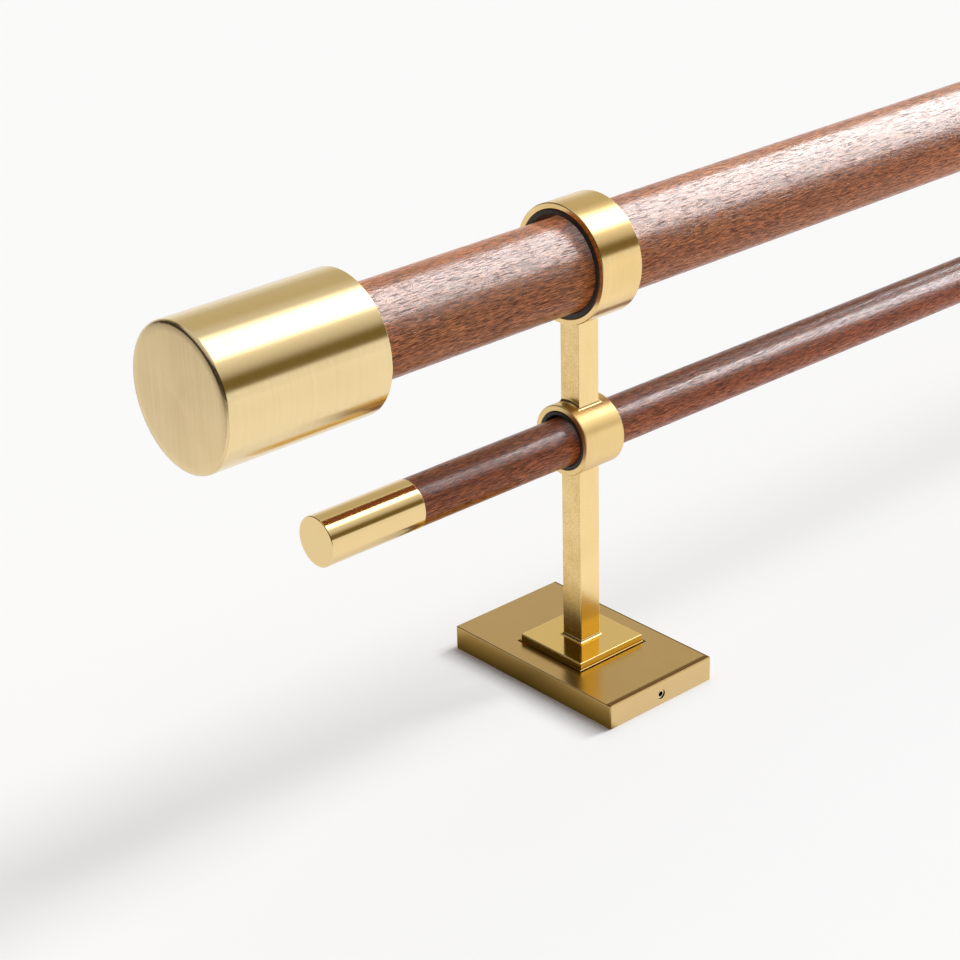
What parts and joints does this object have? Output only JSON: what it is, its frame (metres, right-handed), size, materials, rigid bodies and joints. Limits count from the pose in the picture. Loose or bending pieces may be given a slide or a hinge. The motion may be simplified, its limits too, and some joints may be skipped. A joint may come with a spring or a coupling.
{
  "type": "double curtain pole",
  "caption": "Double curtain pole: a thick front pole and a thin back pole of walnut with brass end caps, held in lined brass rings on square posts and covered wall plates.",
  "frame": {"origin": "midway between the two brackets, on the wall plane at the backs of the wall plates", "axes": "+X along the poles, +Z out from the wall into the room, -Y down once the pole is hung"},
  "size_m": [0.944, 0.094, 0.2104],
  "materials": {
    "walnut_front": "open-pored walnut, satin lacquer",
    "walnut_back": "darker walnut, satin lacquer",
    "cap_brass": "satin, brushed round the drum",
    "polished_brass": "near polished",
    "brushed_brass": "satin, brushed round the ring",
    "post_brass": "satin, linished along the bar",
    "bright_brass": "bright, lightly brushed",
    "antique_brass": "satin, darker lacquered",
    "screw_brass": "plated",
    "black_rubber": "matt black",
    "zinc_steel": "zinc plated"
  },
  "bodies": {
    "root": {"left_wall_plate": "zinc_steel", "left_base_cover": "antique_brass", "left_foot_plate": "bright_brass", "left_lower_post": "post_brass", "left_back_ring": "brushed_brass", "left_back_ring_liner": "black_rubber", "left_upper_post": "post_brass", "left_front_ring": "brushed_brass", "left_front_ring_liner": "black_rubber", "right_wall_plate": "zinc_steel", "right_base_cover": "antique_brass", "right_foot_plate": "bright_brass", "right_lower_post": "post_brass", "right_back_ring": "brushed_brass", "right_back_ring_liner": "black_rubber", "right_upper_post": "post_brass", "right_front_ring": "brushed_brass", "right_front_ring_liner": "black_rubber", "cover_set_screws": "screw_brass", "foot_screws": "zinc_steel", "foot_screw_washers": "zinc_steel", "front_pole": "walnut_front", "back_pole": "walnut_back", "left_front_pole_cap": "cap_brass", "right_front_pole_cap": "cap_brass", "left_back_pole_cap": "polished_brass", "right_back_pole_cap": "polished_brass", "cap_set_screws": "screw_brass"}
  },
  "joints": []
}
